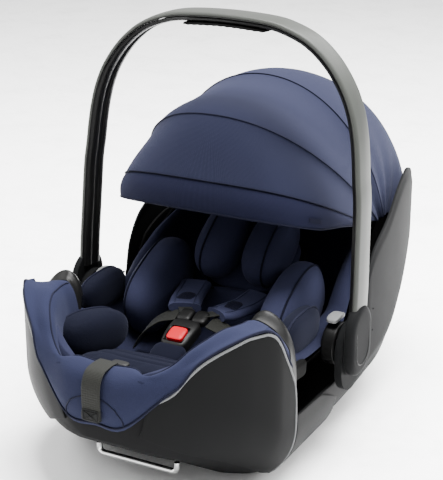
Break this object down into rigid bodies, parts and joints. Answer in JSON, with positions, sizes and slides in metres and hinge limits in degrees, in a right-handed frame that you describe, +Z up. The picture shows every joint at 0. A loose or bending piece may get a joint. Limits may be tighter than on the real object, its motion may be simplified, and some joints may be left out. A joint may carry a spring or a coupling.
{
  "type": "infant carrier car seat",
  "caption": "Rear-facing baby carrier seat: rocker-bottomed plastic shell with padded cover, swinging carry handle, folding canopy, sliding headrest and buckled harness.",
  "frame": {"origin": "on the ground, in the symmetry plane, under the upright handle's pivot area; the flat of the base stands on z = 0", "axes": "+Z up, +Y towards the head end, +X to the right side seen from the foot end"},
  "size_m": [0.4374, 0.718, 0.5665],
  "materials": {
    "tub_plastic": "fine grain",
    "panel_plastic": "fine grain",
    "wing_plastic": "fine grain",
    "handle_plastic": "satin",
    "black_plastic": "satin",
    "button_plastic": "satin",
    "grip_rubber": "matt",
    "foam": "closed-cell foam",
    "navy_cover": "knitted, padded",
    "navy_padding": "knitted, padded",
    "canopy_cloth": "woven",
    "webbing": "woven webbing",
    "red_button": "glossy",
    "steel": "bright plated"
  },
  "bodies": {
    "shell": {"adjuster_housing": "black_plastic", "adjuster_strap": "webbing", "armrest_left": "navy_cover", "armrest_right": "navy_cover", "back_cushion": "navy_padding", "back_panel": "wing_plastic", "base_tub": "tub_plastic", "belt_guide_left": "black_plastic", "belt_guide_right": "black_plastic", "buckle_housing": "black_plastic", "buckle_tongue_left": "black_plastic", "buckle_tongue_right": "black_plastic", "canopy_rear_panel": "canopy_cloth", "crotch_strap": "webbing", "docking_bar": "steel", "foam_liner": "foam", "front_rim_cover": "navy_cover", "front_side_panel_left": "panel_plastic", "front_side_panel_right": "panel_plastic", "hub_plate_left": "wing_plastic", "hub_plate_right": "wing_plastic", "lap_strap_left": "webbing", "lap_strap_right": "webbing", "rear_side_panel_left": "panel_plastic", "rear_side_panel_right": "panel_plastic", "seat_cushion": "navy_padding", "seat_shell": "tub_plastic", "shoulder_pad_left": "navy_padding", "shoulder_pad_right": "navy_padding", "side_bolster_left": "navy_cover", "side_bolster_right": "navy_cover", "trim_band_left": "black_plastic", "trim_band_right": "black_plastic", "wing_panel_left": "wing_plastic", "wing_panel_right": "wing_plastic"},
    "handle": {"handle_shell": "handle_plastic", "handle_channel": "black_plastic", "handle_grip": "grip_rubber", "handle_axle_left": "steel", "handle_axle_right": "steel", "handle_knuckle_left": "black_plastic", "handle_knuckle_right": "black_plastic", "handle_hub_cover_left": "wing_plastic", "handle_hub_cover_right": "wing_plastic"},
    "handle_button_left": {"handle_button_left": "button_plastic"},
    "handle_button_right": {"handle_button_right": "button_plastic"},
    "canopy_middle": {"canopy_hoop_middle": "black_plastic", "canopy_middle_panel": "canopy_cloth"},
    "canopy_front": {"canopy_hoop_front": "black_plastic", "canopy_front_panel": "canopy_cloth"},
    "canopy_visor": {"canopy_hoop_visor": "black_plastic", "canopy_visor": "canopy_cloth"},
    "headrest": {"headrest_shell": "tub_plastic", "headrest_pad": "navy_padding", "headrest_wing_left": "navy_padding", "headrest_wing_right": "navy_padding"},
    "headrest_lever": {"headrest_lever": "black_plastic"},
    "buckle_button": {"buckle_button": "red_button"},
    "adjuster_button": {"adjuster_button": "button_plastic"},
    "release_lever": {"release_lever": "black_plastic"}
  },
  "joints": [
    {"name": "handle_swing", "type": "hinge", "parent": "shell", "child": "handle", "pos_m": [0, -0.01, 0.148], "axis": [1, 0, 0], "range_deg": [-30, 95]},
    {"name": "handle_button_left_press", "type": "slide", "parent": "handle", "child": "handle_button_left", "axis": [0, 0, -1], "range_m": [0, 0.004], "stiffness_N_per_m": 600},
    {"name": "handle_button_right_press", "type": "slide", "parent": "handle", "child": "handle_button_right", "axis": [0, 0, -1], "range_m": [0, 0.004], "stiffness_N_per_m": 600},
    {"name": "canopy_fold", "type": "hinge", "parent": "shell", "child": "canopy_middle", "pos_m": [0, 0.18, 0.24], "axis": [-1, 0, 0], "range_deg": [0, 64], "deforming": ["canopy_rear_panel"]},
    {"name": "canopy_front_fold", "type": "hinge", "parent": "canopy_middle", "child": "canopy_front", "pos_m": [0, 0.18, 0.24], "axis": [-1, 0, 0], "range_deg": [0, 21.6], "deforming": ["canopy_middle_panel"]},
    {"name": "canopy_visor_fold", "type": "hinge", "parent": "canopy_front", "child": "canopy_visor", "pos_m": [0, 0.18, 0.24], "axis": [-1, 0, 0], "range_deg": [0, 9.6], "deforming": ["canopy_front_panel"]},
    {"name": "headrest_slide", "type": "slide", "parent": "shell", "child": "headrest", "axis": [0, 0.8192, 0.5736], "range_m": [0, 0.05]},
    {"name": "headrest_lever_pull", "type": "slide", "parent": "headrest", "child": "headrest_lever", "axis": [0, 0.8192, 0.5736], "range_m": [0, 0.005], "stiffness_N_per_m": 500},
    {"name": "buckle_button_press", "type": "slide", "parent": "shell", "child": "buckle_button", "axis": [0, 0.342, -0.9397], "range_m": [0, 0.003], "stiffness_N_per_m": 900},
    {"name": "adjuster_button_press", "type": "slide", "parent": "shell", "child": "adjuster_button", "axis": [0, 0, -1], "range_m": [0, 0.0025], "stiffness_N_per_m": 600},
    {"name": "release_lever_pull", "type": "slide", "parent": "shell", "child": "release_lever", "axis": [0, 0, 1], "range_m": [0, 0.008], "stiffness_N_per_m": 700}
  ],
  "couplings": [
    {"joint": "canopy_front_fold", "follows": "canopy_fold", "ratio": 0.336},
    {"joint": "canopy_visor_fold", "follows": "canopy_fold", "ratio": 0.148}
  ]
}
